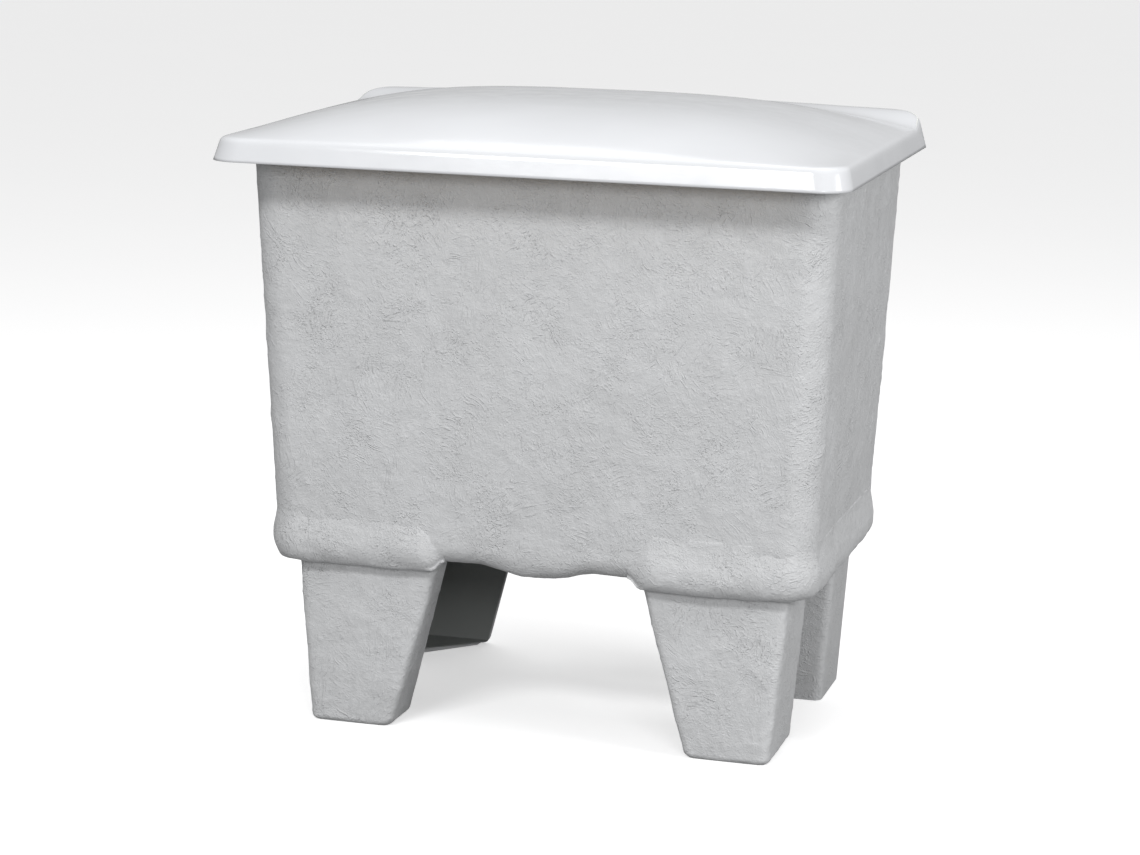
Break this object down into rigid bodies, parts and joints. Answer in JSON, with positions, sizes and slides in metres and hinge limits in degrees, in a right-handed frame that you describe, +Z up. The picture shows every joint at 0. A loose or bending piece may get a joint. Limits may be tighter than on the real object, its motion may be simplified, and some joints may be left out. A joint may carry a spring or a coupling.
{
  "type": "resin wash tank with hinged lid",
  "caption": "Glass-fibre wash tank: tapered tub on four hollow legs, domed lid hinged at the rear, floor drain with ball valve and spigot.",
  "frame": {"origin": "on the floor under the middle of the lid", "axes": "+Z up, -Y front, +Y rear where the hinges and the drain spigot are, +X to the right seen from the front"},
  "size_m": [1, 0.736, 1.013],
  "materials": {
    "fibreglass_exterior": "rough hand-laid glass mat under pale grey flow coat",
    "white_gelcoat": "smooth white gelcoat",
    "lid_gelcoat": "polished white gelcoat",
    "dark_gelcoat": "smooth dark grey gelcoat",
    "lid_laminate": "rough glass laminate with pale flow coat",
    "timber": "sealed softwood",
    "seal_foam": "closed-cell foam strip",
    "gasket_rubber": "moulded rubber",
    "hinge_steel": "brushed stainless steel",
    "screw_steel": "plain stainless steel",
    "drain_plastic": "moulded dark grey PVC",
    "seat_plastic": "white PTFE",
    "ball_chrome": "polished ball",
    "lever_steel": "pressed stainless steel",
    "grip_plastic": "dipped blue vinyl"
  },
  "bodies": {
    "tank": {"tub_shell": "fibreglass_exterior", "tub_rim": "fibreglass_exterior", "base_rail_left": "fibreglass_exterior", "base_rail_right": "fibreglass_exterior", "leg_front_left": "fibreglass_exterior", "leg_rear_left": "fibreglass_exterior", "leg_front_right": "fibreglass_exterior", "leg_rear_right": "fibreglass_exterior", "tub_liner": "white_gelcoat", "leg_lining_front_left": "dark_gelcoat", "leg_lining_rear_left": "dark_gelcoat", "leg_lining_front_right": "dark_gelcoat", "leg_lining_rear_right": "dark_gelcoat", "rim_batten_front": "timber", "rim_batten_rear": "timber", "rim_seal": "seal_foam", "drain_gasket_inner": "gasket_rubber", "drain_gasket_outer": "gasket_rubber", "hinge_bracket_left": "hinge_steel", "hinge_bracket_right": "hinge_steel", "hinge_pin_left": "hinge_steel", "hinge_pin_right": "hinge_steel", "hinge_screws_rim": "screw_steel", "drain_strainer": "screw_steel", "drain_flange": "drain_plastic", "drain_back_nut": "drain_plastic", "drain_elbow": "drain_plastic", "valve_body": "drain_plastic", "outlet_spigot": "drain_plastic", "valve_seats": "seat_plastic"},
    "lid": {"lid_skin": "lid_gelcoat", "lid_laminate": "lid_laminate", "lid_hinge_core": "timber", "hinge_leaf_left": "hinge_steel", "hinge_leaf_right": "hinge_steel", "hinge_screws_lid": "screw_steel"},
    "drain_lever": {"valve_ball": "ball_chrome", "valve_spindle": "screw_steel", "valve_lever": "lever_steel", "lever_grip": "grip_plastic", "lever_nut": "screw_steel"}
  },
  "joints": [
    {"name": "lid_hinge", "type": "hinge", "parent": "tank", "child": "lid", "pos_m": [0, 0.356, 0.905], "axis": [-1, 0, 0], "range_deg": [0, 100]},
    {"name": "drain_valve", "type": "hinge", "parent": "tank", "child": "drain_lever", "pos_m": [0, 0.276, 0.228], "axis": [0, 0, 1], "range_deg": [0, 90]}
  ]
}
